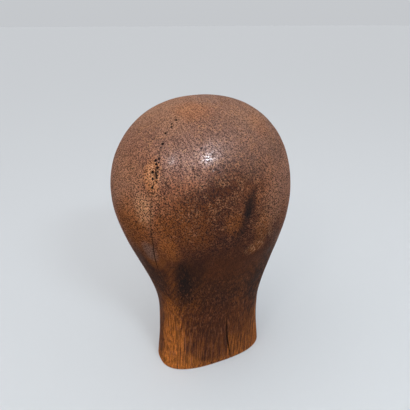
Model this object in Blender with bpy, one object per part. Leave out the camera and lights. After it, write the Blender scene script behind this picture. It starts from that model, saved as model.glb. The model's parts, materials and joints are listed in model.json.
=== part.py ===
"""Wooden hat block: a domed head on a waisted neck, shaped from a blank of two glued halves.

Units are metres and +Z is up. The origin is on the surface that the foot stands on, under
the middle of the head. +Y runs along the head's length and +X across its width. The -Y end
is the one that overhangs the foot further.
"""

import math

import bmesh
import bpy
from mathutils import Matrix, Vector

MM = 0.001

# The head, whose widest section is the level of a hat's band
HEIGHT = 310 * MM
HEAD_LENGTH = 192 * MM
HEAD_WIDTH = 153.5 * MM
HEAD_LEVEL = 213 * MM
DOME_FULLNESS = 2.2      # exponent of the dome's profile; 2 would be a true ellipse

# The neck, narrowest at one height along its ends and at another along its flanks
NECK_LENGTH = 120.6 * MM
NECK_LENGTH_LEVEL = 70 * MM
NECK_WIDTH = 73 * MM
NECK_WIDTH_LEVEL = 18 * MM
END_SWELL = 0.95         # how late the ends swell into the head
FLANK_SWELL = 1.2        # how late the flanks do

# The foot, a rounded oblong with its lower edge eased by hand
FOOT_LENGTH = 130 * MM
FOOT_WIDTH = 70 * MM
FOOT_SETBACK = 7.3 * MM
EDGE_EASE = 1 * MM

# The head leans over the foot between two heights
LEAN = 8.5 * MM
LEAN_START = 83 * MM
LEAN_END = 254 * MM

# Squareness of the level sections, as superellipse exponents
FOOT_SQUARENESS = 2.6
HEAD_SQUARENESS = 2.1
ROUNDED_LEVEL = 140 * MM

# The glued joint, a nearly upright plane that crosses the head at an angle
JOINT_TURN = math.radians(32.4)
JOINT_TILT = math.radians(1.5)
JOINT_OFFSET = 8 * MM
JOINT_GAP = 0.3 * MM

# The socket in the foot, which drops over a peg on the bench
SOCKET_RADIUS = 12.5 * MM
SOCKET_DEPTH = 70 * MM

# The drying check up the neck's right flank, one line per height from the foot upwards
CHECK_DEPTH = 14 * MM
CHECK_STATIONS = (
    # height, place along the flank, width at the surface
    (-2 * MM, 20.2 * MM, 0.7 * MM),
    (22 * MM, 15.6 * MM, 0.7 * MM),
    (38 * MM, 13.2 * MM, 1.2 * MM),
    (62 * MM, 11.2 * MM, 0.5 * MM),
)
CHECK_TOP = (78 * MM, 9.0 * MM)

# The stretch of the joint that has opened at the overhanging end
CRACK_DEPTH = 11 * MM
CRACK_STATIONS = (
    # height, width at the surface
    (148 * MM, 0.4 * MM),
    (160 * MM, 0.9 * MM),
    (180 * MM, 1.0 * MM),
    (196 * MM, 0.7 * MM),
)
CRACK_TOP = 212 * MM

# Holes of the thick pins that were pushed into the joint, as height and radius at the surface
PIN_DEPTH = 4 * MM
PIN_HOLES = (
    (218 * MM, 0.8 * MM),
    (229 * MM, 0.8 * MM),
    (238 * MM, 0.9 * MM),
    (245 * MM, 1.0 * MM),
    (275 * MM, 1.0 * MM),
    (281 * MM, 0.9 * MM),
    (287 * MM, 0.9 * MM),
    (294 * MM, 0.8 * MM),
)

# The hollow that pins have worn over the joint, under the crown
HOLLOW_LEVEL = 260 * MM
HOLLOW_TURN = math.radians(35)
HOLLOW_LENGTH = 24 * MM
HOLLOW_WIDTH = 5 * MM
HOLLOW_DEPTH = 2 * MM

# Mesh density
RING_POINTS = 72
FLANK_STEPS = 22
DOME_STEPS = 15
EASE_STEPS = 3
SOCKET_POINTS = 48
PIN_POINTS = 10
CUTTER_REACH = 500 * MM

LEFT_COLOUR = (0.27, 0.11, 0.045, 1.0)
RIGHT_COLOUR = (0.20, 0.08, 0.036, 1.0)
WOOD_ROUGHNESS = 0.42


def ease(step):
    """Smooth step from 0 to 1."""
    step = min(max(step, 0.0), 1.0)
    return step * step * (3 - 2 * step)


def profile(level, foot, neck, neck_level, head, swell):
    """Half breadth of one profile at a height, from foot to neck to head and over the dome."""
    if level < neck_level:
        return neck + (foot - neck) * (1 - level / neck_level) ** 2
    if level < HEAD_LEVEL:
        rise = (level - neck_level) / (HEAD_LEVEL - neck_level)
        return neck + (head - neck) * ease(rise ** swell)
    rise = (level - HEAD_LEVEL) / (HEIGHT - HEAD_LEVEL)
    return head * (1 - rise ** DOME_FULLNESS) ** (1 / DOME_FULLNESS)


def section(level):
    """Half width, half length, centre along Y and squareness of the level section at a height."""
    half_width = profile(
        level, FOOT_WIDTH / 2, NECK_WIDTH / 2, NECK_WIDTH_LEVEL, HEAD_WIDTH / 2, FLANK_SWELL
    )
    half_length = profile(
        level, FOOT_LENGTH / 2, NECK_LENGTH / 2, NECK_LENGTH_LEVEL, HEAD_LENGTH / 2, END_SWELL
    )
    centre = FOOT_SETBACK - LEAN * ease((level - LEAN_START) / (LEAN_END - LEAN_START))
    rounding = min(level / ROUNDED_LEVEL, 1.0)
    squareness = FOOT_SQUARENESS + (HEAD_SQUARENESS - FOOT_SQUARENESS) * rounding
    return half_width, half_length, centre, squareness


def ring_points(level, inset=0.0):
    """Corners of the superellipse that bounds the block at a height."""
    half_width, half_length, centre, squareness = section(level)
    points = []
    for index in range(RING_POINTS):
        turn = 2 * math.pi * index / RING_POINTS
        across = abs(math.cos(turn)) ** (2 / squareness)
        along = abs(math.sin(turn)) ** (2 / squareness)
        x = math.copysign(across, math.cos(turn)) * (half_width - inset)
        y = math.copysign(along, math.sin(turn)) * (half_length - inset)
        points.append(Vector((x, centre + y, level)))
    return points


def surface_point(level, turn):
    """Point of the surface at a height, in a direction turned from -Y towards +X."""
    half_width, half_length, centre, squareness = section(level)
    across = abs(math.sin(turn) / half_width) ** squareness
    along = abs(math.cos(turn) / half_length) ** squareness
    reach = (across + along) ** (-1 / squareness)
    return Vector((reach * math.sin(turn), centre - reach * math.cos(turn), level))


def block_levels():
    """Heights and insets of the rings from the eased foot edge up to just under the crown."""
    levels = []
    for step in range(EASE_STEPS):
        turn = math.pi / 2 * step / EASE_STEPS
        levels.append((EDGE_EASE * (1 - math.cos(turn)), EDGE_EASE * (1 - math.sin(turn))))
    for step in range(FLANK_STEPS):
        levels.append((EDGE_EASE + (HEAD_LEVEL - EDGE_EASE) * step / FLANK_STEPS, 0.0))
    for step in range(DOME_STEPS):
        turn = math.pi / 2 * step / DOME_STEPS
        levels.append((HEAD_LEVEL + (HEIGHT - HEAD_LEVEL) * math.sin(turn), 0.0))
    return levels


def ring_edges(bm, points):
    """A closed ring of new edges through the points."""
    corners = [bm.verts.new(point) for point in points]
    followers = corners[1:] + corners[:1]
    return [bm.edges.new(pair) for pair in zip(corners, followers)]


def loft(rings, tip=None):
    """Closed mesh bridged through rings of points, ending in a face or, if given, a tip."""
    bm = bmesh.new()
    loops = [ring_edges(bm, points) for points in rings]
    for lower, upper in zip(loops, loops[1:]):
        bmesh.ops.bridge_loops(bm, edges=lower + upper)
    bmesh.ops.contextual_create(bm, geom=loops[0])
    if tip is None:
        bmesh.ops.contextual_create(bm, geom=loops[-1])
    else:
        raised = bmesh.ops.extrude_edge_only(bm, edges=loops[-1])["geom"]
        corners = [item for item in raised if isinstance(item, bmesh.types.BMVert)]
        bmesh.ops.pointmerge(bm, verts=corners, merge_co=tip)
    bmesh.ops.recalc_face_normals(bm, faces=bm.faces)
    return bm


def mesh_object(name, bm):
    """Object in the scene that holds the finished bmesh."""
    mesh = bpy.data.meshes.new(name)
    bm.to_mesh(mesh)
    bm.free()
    item = bpy.data.objects.new(name, mesh)
    bpy.context.collection.objects.link(item)
    return item


def cutter_object(name, bm):
    """Object that only serves to cut others."""
    item = mesh_object(name, bm)
    item.hide_render = True
    item.display_type = "WIRE"
    return item


def joint_frame():
    """Frame of the glued joint, whose +X is the joint's normal into the right half."""
    at_foot = Matrix.Translation((0, FOOT_SETBACK, 0))
    turned = Matrix.Rotation(JOINT_TURN, 4, "Z")
    moved = Matrix.Translation((-JOINT_OFFSET, 0, 0))
    tilted = Matrix.Rotation(JOINT_TILT, 4, "Y")
    return at_foot @ turned @ moved @ tilted


def joint_cutter(name, side):
    """Half space beyond the joint, which leaves the half on the given side of it."""
    middle = side * (JOINT_GAP - CUTTER_REACH) / 2
    bm = bmesh.new()
    bmesh.ops.create_cube(bm, size=CUTTER_REACH)
    bmesh.ops.translate(bm, verts=bm.verts, vec=(middle, 0, CUTTER_REACH / 4))
    bmesh.ops.transform(bm, verts=bm.verts, matrix=joint_frame())
    return cutter_object(name, bm)


def socket_cutter():
    """Bore of the peg socket, straight up into the middle of the foot."""
    bm = bmesh.new()
    bmesh.ops.create_cone(
        bm,
        cap_ends=True,
        segments=SOCKET_POINTS,
        radius1=SOCKET_RADIUS,
        radius2=SOCKET_RADIUS,
        depth=2 * SOCKET_DEPTH,
    )
    bmesh.ops.translate(bm, verts=bm.verts, vec=(0, FOOT_SETBACK, 0))
    return cutter_object("socket_cutter", bm)


def check_cutter():
    """Thin wedge that follows the drying check up the flank and closes to a point."""
    outside = 3 * MM
    widening = (CHECK_DEPTH + outside) / CHECK_DEPTH
    rings = []
    for level, place, width in CHECK_STATIONS:
        flank = section(max(level, 0.0))[0]
        mouth = width * widening / 2
        rings.append([
            Vector((flank - CHECK_DEPTH, place, level)),
            Vector((flank + outside, place - mouth, level)),
            Vector((flank + outside, place + mouth, level)),
        ])
    top_level, top_place = CHECK_TOP
    tip = Vector((section(top_level)[0], top_place, top_level))
    return cutter_object("check_cutter", loft(rings, tip))


def joint_edge(level):
    """Point where the middle of the joint leaves the surface at the overhanging end."""
    to_world = joint_frame()
    inside, outside = 0.0, HEAD_LENGTH
    while outside - inside > 0.001 * MM:
        middle = (inside + outside) / 2
        place = to_world @ Vector((0, -middle, level))
        half_width, half_length, centre, squareness = section(place.z)
        across = abs(place.x / half_width) ** squareness
        along = abs((place.y - centre) / half_length) ** squareness
        if across + along < 1:
            inside = middle
        else:
            outside = middle
    return to_world @ Vector((0, -inside, level))


def crack_cutter():
    """Thin wedge along the joint where it has opened, closing to a point under the hollow."""
    outside = 3 * MM
    widening = (CRACK_DEPTH + outside) / CRACK_DEPTH
    turned = joint_frame().to_3x3()
    across = turned @ Vector((1, 0, 0))
    inward = turned @ Vector((0, 1, 0))
    rings = []
    for level, width in CRACK_STATIONS:
        edge = joint_edge(level)
        mouth = width * widening / 2
        rings.append([
            edge + inward * CRACK_DEPTH,
            edge - inward * outside + across * mouth,
            edge - inward * outside - across * mouth,
        ])
    return cutter_object("crack_cutter", loft(rings, joint_edge(CRACK_TOP)))


def pin_cutter(index, level, radius):
    """Narrow cone of one pin hole, pointing at the middle of the head."""
    clear = 1 * MM
    mouth = radius * (PIN_DEPTH + clear) / PIN_DEPTH
    edge = joint_edge(level)
    heart = Vector((0, section(HEAD_LEVEL)[2], HEAD_LEVEL))
    inward = (heart - edge).normalized()
    bm = bmesh.new()
    bmesh.ops.create_cone(
        bm,
        cap_ends=True,
        segments=PIN_POINTS,
        radius1=mouth,
        radius2=mouth * 0.2,
        depth=PIN_DEPTH + clear,
    )
    turned = inward.to_track_quat("Z", "Y").to_matrix().to_4x4()
    middle = edge + inward * (PIN_DEPTH - clear) / 2
    bmesh.ops.transform(bm, verts=bm.verts, matrix=Matrix.Translation(middle) @ turned)
    return cutter_object(f"pin_cutter_{index}", bm)


def hollow_cutter():
    """Long shallow scoop that lies along the surface, over the joint."""
    place = surface_point(HOLLOW_LEVEL, HOLLOW_TURN)
    upward = surface_point(HOLLOW_LEVEL + HOLLOW_LENGTH / 2, HOLLOW_TURN)
    downward = surface_point(HOLLOW_LEVEL - HOLLOW_LENGTH / 2, HOLLOW_TURN)
    along = (upward - downward).normalized()
    sideways = Vector((math.cos(HOLLOW_TURN), math.sin(HOLLOW_TURN), 0))
    outward = sideways.cross(along)
    axes = Matrix((sideways, along, outward)).transposed().to_4x4()
    radii = Matrix.Diagonal((HOLLOW_WIDTH / 2, HOLLOW_LENGTH / 2, HOLLOW_DEPTH, 1))
    bm = bmesh.new()
    bmesh.ops.create_uvsphere(bm, u_segments=16, v_segments=10, radius=1)
    bmesh.ops.transform(bm, verts=bm.verts, matrix=Matrix.Translation(place) @ axes @ radii)
    return cutter_object("hollow_cutter", bm)


def wood(name, colour):
    """Oiled and handled wood."""
    material = bpy.data.materials.new(name)
    material.use_nodes = True
    shader = material.node_tree.nodes["Principled BSDF"]
    shader.inputs["Base Color"].default_value = colour
    shader.inputs["Roughness"].default_value = WOOD_ROUGHNESS
    shader.inputs["Metallic"].default_value = 0.0
    return material


def make_half(name, cutters, material):
    """One half: the whole block less everything that the cutters take away."""
    rings = [ring_points(level, inset) for level, inset in block_levels()]
    crown = Vector((0, section(HEIGHT)[2], HEIGHT))
    half = mesh_object(name, loft(rings, crown))
    for cutter in cutters:
        cut = half.modifiers.new(cutter.name, "BOOLEAN")
        cut.operation = "DIFFERENCE"
        cut.object = cutter
        cut.solver = "EXACT"
    bpy.context.view_layer.update()
    whole = half.data
    seen = half.evaluated_get(bpy.context.evaluated_depsgraph_get())
    half.data = bpy.data.meshes.new_from_object(seen)
    half.modifiers.clear()
    bpy.data.meshes.remove(whole)
    half.data.name = name
    half.data.materials.clear()
    half.data.materials.append(material)
    half.data.shade_smooth()
    half.data.set_sharp_from_angle(angle=math.radians(30))
    return half


def main():
    for item in list(bpy.data.objects):
        bpy.data.objects.remove(item)
    socket = socket_cutter()
    hollow = hollow_cutter()
    check = check_cutter()
    worn = [socket, hollow, crack_cutter()]
    for index, (level, radius) in enumerate(PIN_HOLES):
        worn.append(pin_cutter(index, level, radius))
    keep_left = joint_cutter("right_side_cutter", -1)
    keep_right = joint_cutter("left_side_cutter", 1)
    make_half("left_half", [keep_left, *worn], wood("left_wood", LEFT_COLOUR))
    make_half("right_half", [keep_right, *worn, check], wood("right_wood", RIGHT_COLOUR))


main()
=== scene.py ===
"""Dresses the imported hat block: two carved and glued halves of oiled wood on a pale studio floor.

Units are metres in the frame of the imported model. The foot stands on Z = 0, +Y runs along
the head's length and +X across its width. The head overhangs the foot further at -Y. The
tables of cracks, pins and stains are in millimetres.
"""

import itertools
import json
import math
import random

import bmesh
import bpy
from mathutils import Matrix, Vector
from mathutils.bvhtree import BVHTree
from mathutils.kdtree import KDTree

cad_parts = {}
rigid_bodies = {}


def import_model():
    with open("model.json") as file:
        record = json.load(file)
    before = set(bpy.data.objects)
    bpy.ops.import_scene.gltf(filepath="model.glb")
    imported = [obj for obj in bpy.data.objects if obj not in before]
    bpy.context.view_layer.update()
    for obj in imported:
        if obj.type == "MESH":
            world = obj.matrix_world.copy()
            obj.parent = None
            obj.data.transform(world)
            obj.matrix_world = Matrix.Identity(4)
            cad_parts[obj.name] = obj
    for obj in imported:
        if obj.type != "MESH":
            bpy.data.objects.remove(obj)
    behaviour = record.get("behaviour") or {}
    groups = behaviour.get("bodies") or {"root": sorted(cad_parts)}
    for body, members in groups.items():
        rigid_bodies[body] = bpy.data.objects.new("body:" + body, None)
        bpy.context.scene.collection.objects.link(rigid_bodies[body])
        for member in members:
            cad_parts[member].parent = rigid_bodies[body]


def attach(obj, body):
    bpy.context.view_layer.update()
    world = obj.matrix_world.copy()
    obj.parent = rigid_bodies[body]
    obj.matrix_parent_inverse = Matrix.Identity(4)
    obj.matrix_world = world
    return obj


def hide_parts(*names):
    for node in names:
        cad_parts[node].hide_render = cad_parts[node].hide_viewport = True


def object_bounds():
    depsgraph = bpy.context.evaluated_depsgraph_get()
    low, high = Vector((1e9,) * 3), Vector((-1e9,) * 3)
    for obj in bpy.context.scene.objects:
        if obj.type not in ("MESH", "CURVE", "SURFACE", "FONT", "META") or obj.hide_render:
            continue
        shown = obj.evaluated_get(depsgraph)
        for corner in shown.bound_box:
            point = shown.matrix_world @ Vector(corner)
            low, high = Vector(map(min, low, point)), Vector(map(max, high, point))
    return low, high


bl_info = {
    "name": "Wooden hat block",
    "version": (1, 0, 0),
    "blender": (4, 5, 0),
    "location": "View3D > Sidebar > Hat block",
    "description": "Carves a hat block from two glued halves and sets it on a pale floor",
    "category": "Add Mesh",
}

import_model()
CAD_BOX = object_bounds()

MM = 0.001

# Two heights that differ by less than this are the same height
TINY = 0.01 * MM

# The head leans, which makes its box this much longer than its longest section
LEAN_SPREAD = 0.34 * MM

# How the section rounds off on its way up from the foot to the head
ROUNDED_LEVEL = 140 * MM
FOOT_SQUARENESS = 2.6
HEAD_SQUARENESS = 2.1
DOME_FULLNESS = 2.2
END_SWELL = 0.95
FLANK_SWELL = 1.2

# Rings of the rough shape: how many lie on the neck, the flare and the dome
NECK_RINGS = 14
FLARE_RINGS = 16
DOME_RINGS = 15
FLARE_START = 128 * MM
FIRST_RING = 3 * MM
CAP_LEVEL = 288 * MM

# Shares of the cap's reach below which a point is its centre, and above which it is its rim
CAP_CENTRE = 0.001
CAP_RIM = 0.998

# An edge of the foot that turns by more than this many radians is its corner
FOOT_CORNER = 1.0

# Facets that wear gives the foot's corner, and insets that ring its sole
CORNER_FACETS = 2
SOLE_INSETS = (3 * MM, 12 * MM)

# Swells of hand work: name, size, share of the unevenness; and where they set in
SWELLS = (("broad", 34 * MM, 1.0), ("close", 11 * MM, 0.22))
SWELL_START = 1.2 * MM
SWELL_FULL = 12 * MM

# Faces that meet at more than this angle keep a crisp edge
CRISP_ANGLE = math.radians(32)

# A half with more triangles than this stops the build
MOST_TRIANGLES = 200000

# How far along the joint, about its middle, the wander of the glue line dies out
WANDER_FADE = 80 * MM

# A sweep's rings: how far apart they are before each is put in its place
SWEEP_STEP = 10 * MM

# The cutter of a half: how far it reaches, and the heights of its rings in millimetres
HALF_REACH = 260 * MM
HALF_LEVELS = range(-40, 361, 10)

# How far a crack's blade and a pin's cone stand out of the wood
BLADE_CLEARANCE = 2 * MM
PIN_CLEARANCE = 1.2 * MM

# A big pin hole: its sides, its tip as a share of its mouth, how torn it is, and the seed
PIN_SIDES = 12
PIN_TIP = 0.18
PIN_TEAR = 0.22
PIN_SEED = 11

# The peg socket: its sides, and the broken edge at its mouth
SOCKET_SIDES = 48
SOCKET_BEVEL = 1.2 * MM

# From this far out the surface is looked for along the joint
FAR_OUT = 300 * MM

# Where the glue line runs on the overhanging end: height, and shift towards the right half
JOINT_WANDER = (
    (0, 1.9), (35, 1.2), (72, 1.4), (100, -0.6), (128, -3.6), (150, -4.5), (158, -4.1),
    (166, -3.4), (177, -1.6), (188, 0.0), (196, 0.2), (210, 0.8), (230, 1.9), (250, 2.5),
    (270, 1.3), (290, 0.4), (310, 0.0),
)

# The drying crack that has opened along it: height, shift, width at the surface, depth
OPEN_CRACK = (
    (147, -4.6, 0.12, 2), (151, -4.5, 0.45, 5), (158, -4.1, 0.85, 9), (166, -3.4, 0.95, 11),
    (177, -1.6, 0.9, 12), (188, 0.0, 0.85, 12), (196, 0.2, 0.7, 10), (204, 0.5, 0.6, 8),
    (212, 0.9, 0.25, 4), (220, 1.3, 0.1, 2),
)

# Pin holes in a row along the glue line: height, shift, radius at the surface, depth
ROW_PINS = (
    (296.2, 1.4, 0.95, 4), (293.4, -0.3, 0.8, 3), (291.3, 1.2, 0.95, 4), (286.6, -1.0, 1.1, 5),
    (278.8, 1.0, 1.2, 5), (275.8, 0.6, 0.8, 4), (267.3, 2.6, 1.1, 5), (265.8, -0.1, 1.2, 5),
    (262.9, 1.2, 1.3, 5), (264.4, 2.9, 0.8, 4), (260.3, 3.0, 1.4, 6), (257.2, 4.0, 1.1, 5),
    (256.1, -0.4, 1.4, 4), (254.0, 3.8, 1.3, 6), (251.9, 3.9, 1.2, 6), (250.8, 0.8, 1.3, 5),
    (248.6, 4.5, 1.0, 4), (243.6, 1.9, 1.2, 3), (238.6, 2.2, 0.8, 3), (225.9, 2.4, 0.7, 3),
    (218.3, 1.8, 0.6, 3),
)

# The trough that pins have torn where they were pushed in most often: height, shift
TROUGH_LEVEL = 255.5
TROUGH_SHIFT = 2.4

# Its half width, half length and depth, and how far up the joint its direction is read
TROUGH_SIZE = (2.8, 10.0, 0.8)
TROUGH_STEP = 6

# Size and depth of the tears that make it ragged
TEAR_SIZE = 2.2 * MM
TEAR_DEPTH = 1.6 * MM

# Drying checks and a nick away from the glue line: place near the surface, width and depth
FLANK_CHECK = (
    ((36.0, 20.3, -1.0), 0.8, 9), ((36.2, 18.7, 10.0), 1.1, 12), ((36.4, 17.0, 19.0), 1.3, 13),
    ((36.6, 15.1, 29.0), 1.7, 14), ((36.8, 13.9, 38.0), 1.9, 14), ((38.0, 13.0, 46.0), 1.7, 13),
    ((39.5, 12.3, 55.0), 1.2, 10), ((41.5, 11.2, 63.0), 0.6, 6), ((44.0, 9.4, 76.0), 0.3, 3),
    ((45.6, 7.6, 90.0), 0.1, 1),
)
BACK_CHECK = (
    ((-35.0, 31.0, -1.0), 0.45, 7), ((-35.4, 30.2, 10.0), 0.6, 9), ((-36.0, 28.4, 24.0), 0.5, 8),
    ((-37.0, 27.2, 38.0), 0.3, 5), ((-38.4, 26.0, 56.0), 0.12, 2),
)
HEEL_CHECK = (
    ((31.8, 45.9, 1.5), 0.3, 2), ((32.0, 45.6, 6.0), 0.45, 3), ((32.3, 45.1, 13.5), 0.1, 1),
)
FLARE_NICK = (
    ((45.6, -59.2, 156.1), 0.2, 0.6), ((48.0, -56.0, 156.3), 0.8, 1.5),
    ((50.2, -53.2, 156.6), 0.8, 1.6), ((52.4, -50.4, 156.9), 0.2, 0.6),
)
CHECKS = {
    "flank_check": FLANK_CHECK, "back_check": BACK_CHECK, "heel_check": HEEL_CHECK,
    "flare_nick": FLARE_NICK,
}

# Lone pin holes: place near the surface, radius and depth
LONE_PINS = (
    ((58.4, -27.7, 275.8), 0.9, 3), ((17.5, -32.9, 304.1), 0.5, 2), ((30.0, 30.0, 300.0), 0.6, 2),
    ((-40.0, -50.0, 280.0), 0.7, 3), ((-62.0, 10.0, 262.0), 0.6, 2),
    ((10.0, 78.0, 268.0), 0.7, 3), ((14.0, 84.0, 258.0), 0.8, 3), ((12.0, 88.0, 250.0), 0.9, 4),
    ((15.0, 90.0, 244.0), 0.8, 3), ((13.0, 93.0, 232.0), 0.7, 3),
)

# Where small pits set in: over how much height, from how far below, and the slant across
PIT_FADE = 36 * MM
PIT_MARGIN = 20 * MM
PIT_SLANT = 0.12

# The share of them that the crown lacks, from which height up, and over how much height
CROWN_THINNING = 0.55
CROWN_START = 285 * MM
CROWN_FADE = 20 * MM

# The spread of a pit's width and of its depth, and how far it slides and leans
PIT_WIDTHS = (0.62, 1.25)
PIT_DEPTHS = (0.6, 1.4)
PIT_SLIDE = 0.14 * MM
PIT_LEAN = 0.08 * MM

# A pit whose middle isn't found within this distance is left out
PIT_LOST = 0.05 * MM

# Depths below the carved surface are stored up to this many millimetres
DEEPEST = 20.0

# Broad soft areas where hands and dirt have changed the finish, with painted shade under the
# head and a painted sheen on the upper flanks among them: colour, strength, kind of edge,
# centre, radii, and for a leaning one its lean in degrees about X and Y
HANDLED_AND_PAINTED_LIGHT = (
    # The next seven umber rows are painted shade under the overhanging head and on the neck, as
    # well as the darkening that handling has left.
    ("umber", 0.92, "soft", (80, 0, 168), (60, 84, 76)),
    ("umber", 0.88, "soft", (40, -6, 80), (24, 30, 100)),
    ("umber", 0.75, "soft", (36, 36, 84), (20, 28, 80)),
    ("umber", 0.85, "soft", (12, -58, 112), (26, 16, 40)),
    ("umber", 0.80, "soft", (26, -72, 146), (34, 22, 44)),
    ("umber", 0.80, "soft", (-2, -56, 52), (14, 10, 60)),
    ("umber", 0.55, "soft", (34, -28, 50), (12, 12, 50)),
    ("umber", 0.64, "soft", (74, 2, 250), (22, 36, 20), (20, 0)),
    ("umber", 0.84, "soft", (73, -26, 224), (20, 28, 28)),
    # These three soft soot rows are painted shade round the neck under the head and along its low
    # edges.
    ("soot", 0.48, "soft", (50, 0, 114), (40, 72, 28)),
    ("soot", 0.70, "soft", (44, 52, 120), (26, 26, 72)),
    ("soot", 0.50, "soft", (22, -72, 140), (24, 18, 38)),
    ("soot", 0.40, "ragged", (56, 54, 262), (14, 16, 16)),
    ("ash", 0.45, "soft", (52, 24, 276), (40, 44, 34)),
    # The three fawn rows are a painted sheen that lightens the upper left and right flanks, where
    # the pale room would be reflected.
    ("fawn", 0.75, "soft", (0, -96, 242), (36, 22, 50)),
    ("fawn", 0.60, "soft", (34, -86, 228), (22, 18, 24)),
    ("fawn", 0.70, "soft", (58, 66, 240), (20, 26, 40)),
    ("straw", 0.16, "soft", (26, -86, 238), (34, 18, 36)),
    ("straw", 0.22, "soft", (-20, -40, 298), (60, 54, 22)),
    ("fawn", 0.50, "ragged", (70, 48, 224), (16, 18, 34)),
    ("honey", 0.25, "ragged", (73, 32, 192), (12, 12, 20)),
    ("honey", 0.60, "soft", (31, -88, 198), (24, 16, 32)),
    ("honey", 0.45, "ragged", (38, -68, 166), (12, 12, 18)),
    ("honey", 0.30, "ragged", (74, -2, 206), (12, 12, 14)),
    ("honey", 0.50, "ragged", (58, -58, 204), (16, 20, 16)),
    ("chestnut", 0.60, "soft", (30, -86, 186), (34, 20, 40)),
    ("chestnut", 0.92, "soft", (66, -46, 206), (24, 30, 26)),
    ("honey", 0.50, "ragged", (55, -60, 178), (10, 12, 18)),
    ("honey", 0.80, "soft", (20, -50, 40), (13, 11, 70)),
    ("honey", 0.80, "soft", (24, -42, 8), (28, 26, 16)),
    ("honey", 0.26, "ragged", (30, -24, 303), (20, 20, 10)),
    ("honey", 0.20, "ragged", (44, 40, 288), (20, 14, 14)),
    ("ash", 0.45, "ragged", (12, -3, 309), (16, 16, 8)),
    ("umber", 0.14, "ragged", (48, -4, 293), (16, 30, 10)),
    ("straw", 0.12, "ragged", (38, 26, 296), (26, 30, 14)),
    ("umber", 0.30, "soft", (68, -30, 204), (12, 16, 16)),
    ("umber", 0.22, "ragged", (-10, 26, 304), (26, 14, 10)),
    ("chestnut", 0.20, "soft", (62, 6, 154), (24, 34, 34)),
    ("umber", 0.70, "soft", (-72, 6, 172), (40, 60, 46)),
    ("umber", 0.65, "soft", (-36, -6, 70), (16, 24, 60)),
    ("umber", 0.65, "soft", (20, 92, 176), (40, 30, 44)),
    ("fawn", 0.60, "soft", (-58, 40, 262), (30, 44, 34)),
    ("honey", 0.50, "ragged", (-34, 40, 40), (14, 14, 60)),
    ("honey", 0.40, "ragged", (-4, 74, 120), (22, 14, 40)),
    ("ash", 0.40, "ragged", (-66, -34, 240), (16, 18, 16)),
    ("soot", 0.45, "ragged", (-34, 84, 236), (22, 14, 18)),
)

# Single marks, in the same order of columns. A torn one breaks up into pale fibres, a veined
# one into upright strands, and a flecked one into short slanting flecks.
MARKS = (
    ("soot", 0.70, "soft", (52, -39, 132), (18, 13, 36), (0, 18)),
    ("soot", 0.65, "soft", (40, -42, 112), (15, 12, 30), (0, 20)),
    ("soot", 1.00, "veined", (51, -45, 143), (15, 9, 27), (8, 18)),
    ("soot", 0.95, "veined", (76, 13, 220), (12, 7, 18), (-17, 0)),
    ("soot", 0.90, "veined", (75, 7, 201), (11, 4.5, 19), (-17, 0)),
    ("ash", 0.76, "close", (40, -74, 172), (9, 8, 18), (0, -14)),
    ("ash", 0.55, "close", (51, -67, 250), (5, 6, 8)),
    ("straw", 0.62, "torn", (45, -79, 221), (9, 9, 17), (14, 0)),
    ("straw", 0.75, "flecked", (45, -79, 220), (9, 10, 18), (14, 0)),
    ("honey", 0.30, "ragged", (67, 28, 171), (10, 12, 9), (12, 0)),
    ("straw", 0.85, "flecked", (67, 26, 171), (10, 12, 8), (12, 0)),
    ("honey", 0.70, "close", (48, -70, 255), (9, 8, 19)),
    ("straw", 0.80, "torn", (48, -70, 257), (8, 7, 16)),
    ("straw", 0.30, "torn", (50, -68, 238), (6, 6, 22)),
    ("straw", 0.20, "torn", (34, -44, 292), (14, 12, 14)),
    ("straw", 0.34, "flecked", (72, 42, 198), (12, 20, 38)),
    ("soot", 0.85, "veined", (-75, -14, 204), (12, 8, 24), (12, 0)),
    ("straw", 0.65, "torn", (-70, 38, 224), (12, 14, 9), (-20, 0)),
    ("straw", 0.55, "torn", (12, 98, 224), (12, 12, 10)),
    ("straw", 0.35, "torn", (-40, -60, 280), (16, 14, 12)),
)

# How each half was sawn: its pith, the pith's lean, and the width of a year's growth
FIGURES = {
    "left_half": ((-52, -36, 0), (0.03, 0.05, 0), 3.6 * MM),
    "right_half": ((12, 6, 0), (-0.04, 0.03, 0), 3.2 * MM),
}

# Heights between which the finish changes, from none of it to all of it
POLISH_RISE = (120 * MM, 190 * MM)
CROWN_RISE = (225 * MM, 300 * MM)
STIPPLE_RISE = (145 * MM, 205 * MM)
CURL_RISE = (130 * MM, 210 * MM)
PALE_CURL_RISE = (160 * MM, 260 * MM)
SCRATCH_FALL = (190 * MM, 90 * MM)
SAWN_FALL = (170 * MM, 100 * MM)
DULL_FALL = (200 * MM, 130 * MM)
ARRIS_FALL = (2.1 * MM, 1.0 * MM)
GLUE_LINE_FALL = (301 * MM, 293 * MM)

# Centre and radii of the pin-torn trough, and of the flank that handling keeps glossy
TORN_PLACE = ((51, -67, 256), (8, 8, 13))
RUBBED_PLACE = ((66, -16, 250), (46, 84, 46))

# The lamps: name, direction from the block, distance, size, the stage's power and a share of
# it, colour, and whether it lights the wood or only gleams on the gloss
BLOCK_MIDDLE = (0, 0, 0.22)
PALE_BLUE = (0.80, 0.92, 1.0)
GLEAM_BLUE = (0.74, 0.87, 1.0)
NEAR_WHITE = (1.0, 0.97, 0.95)
LAMPS = (
    ("window", (0.79, 0.07, 0.59), 1.4, (0.36, 0.11), "window_power", 1.0, PALE_BLUE, True),
    ("second_lamp", (0.58, -0.64, 0.62), 1.5, (0.20, 0.12), "lamp_power", 1.0, NEAR_WHITE, True),
    ("window_gleam", (0.80, 0.06, 0.565), 1.4, (0.25, 0.10), "gleam_power", 1.0, GLEAM_BLUE, False),
    ("lamp_gleam", (0.60, -0.62, 0.585), 1.4, (0.18, 0.12), "gleam_power", 0.5, GLEAM_BLUE, False),
)

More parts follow.
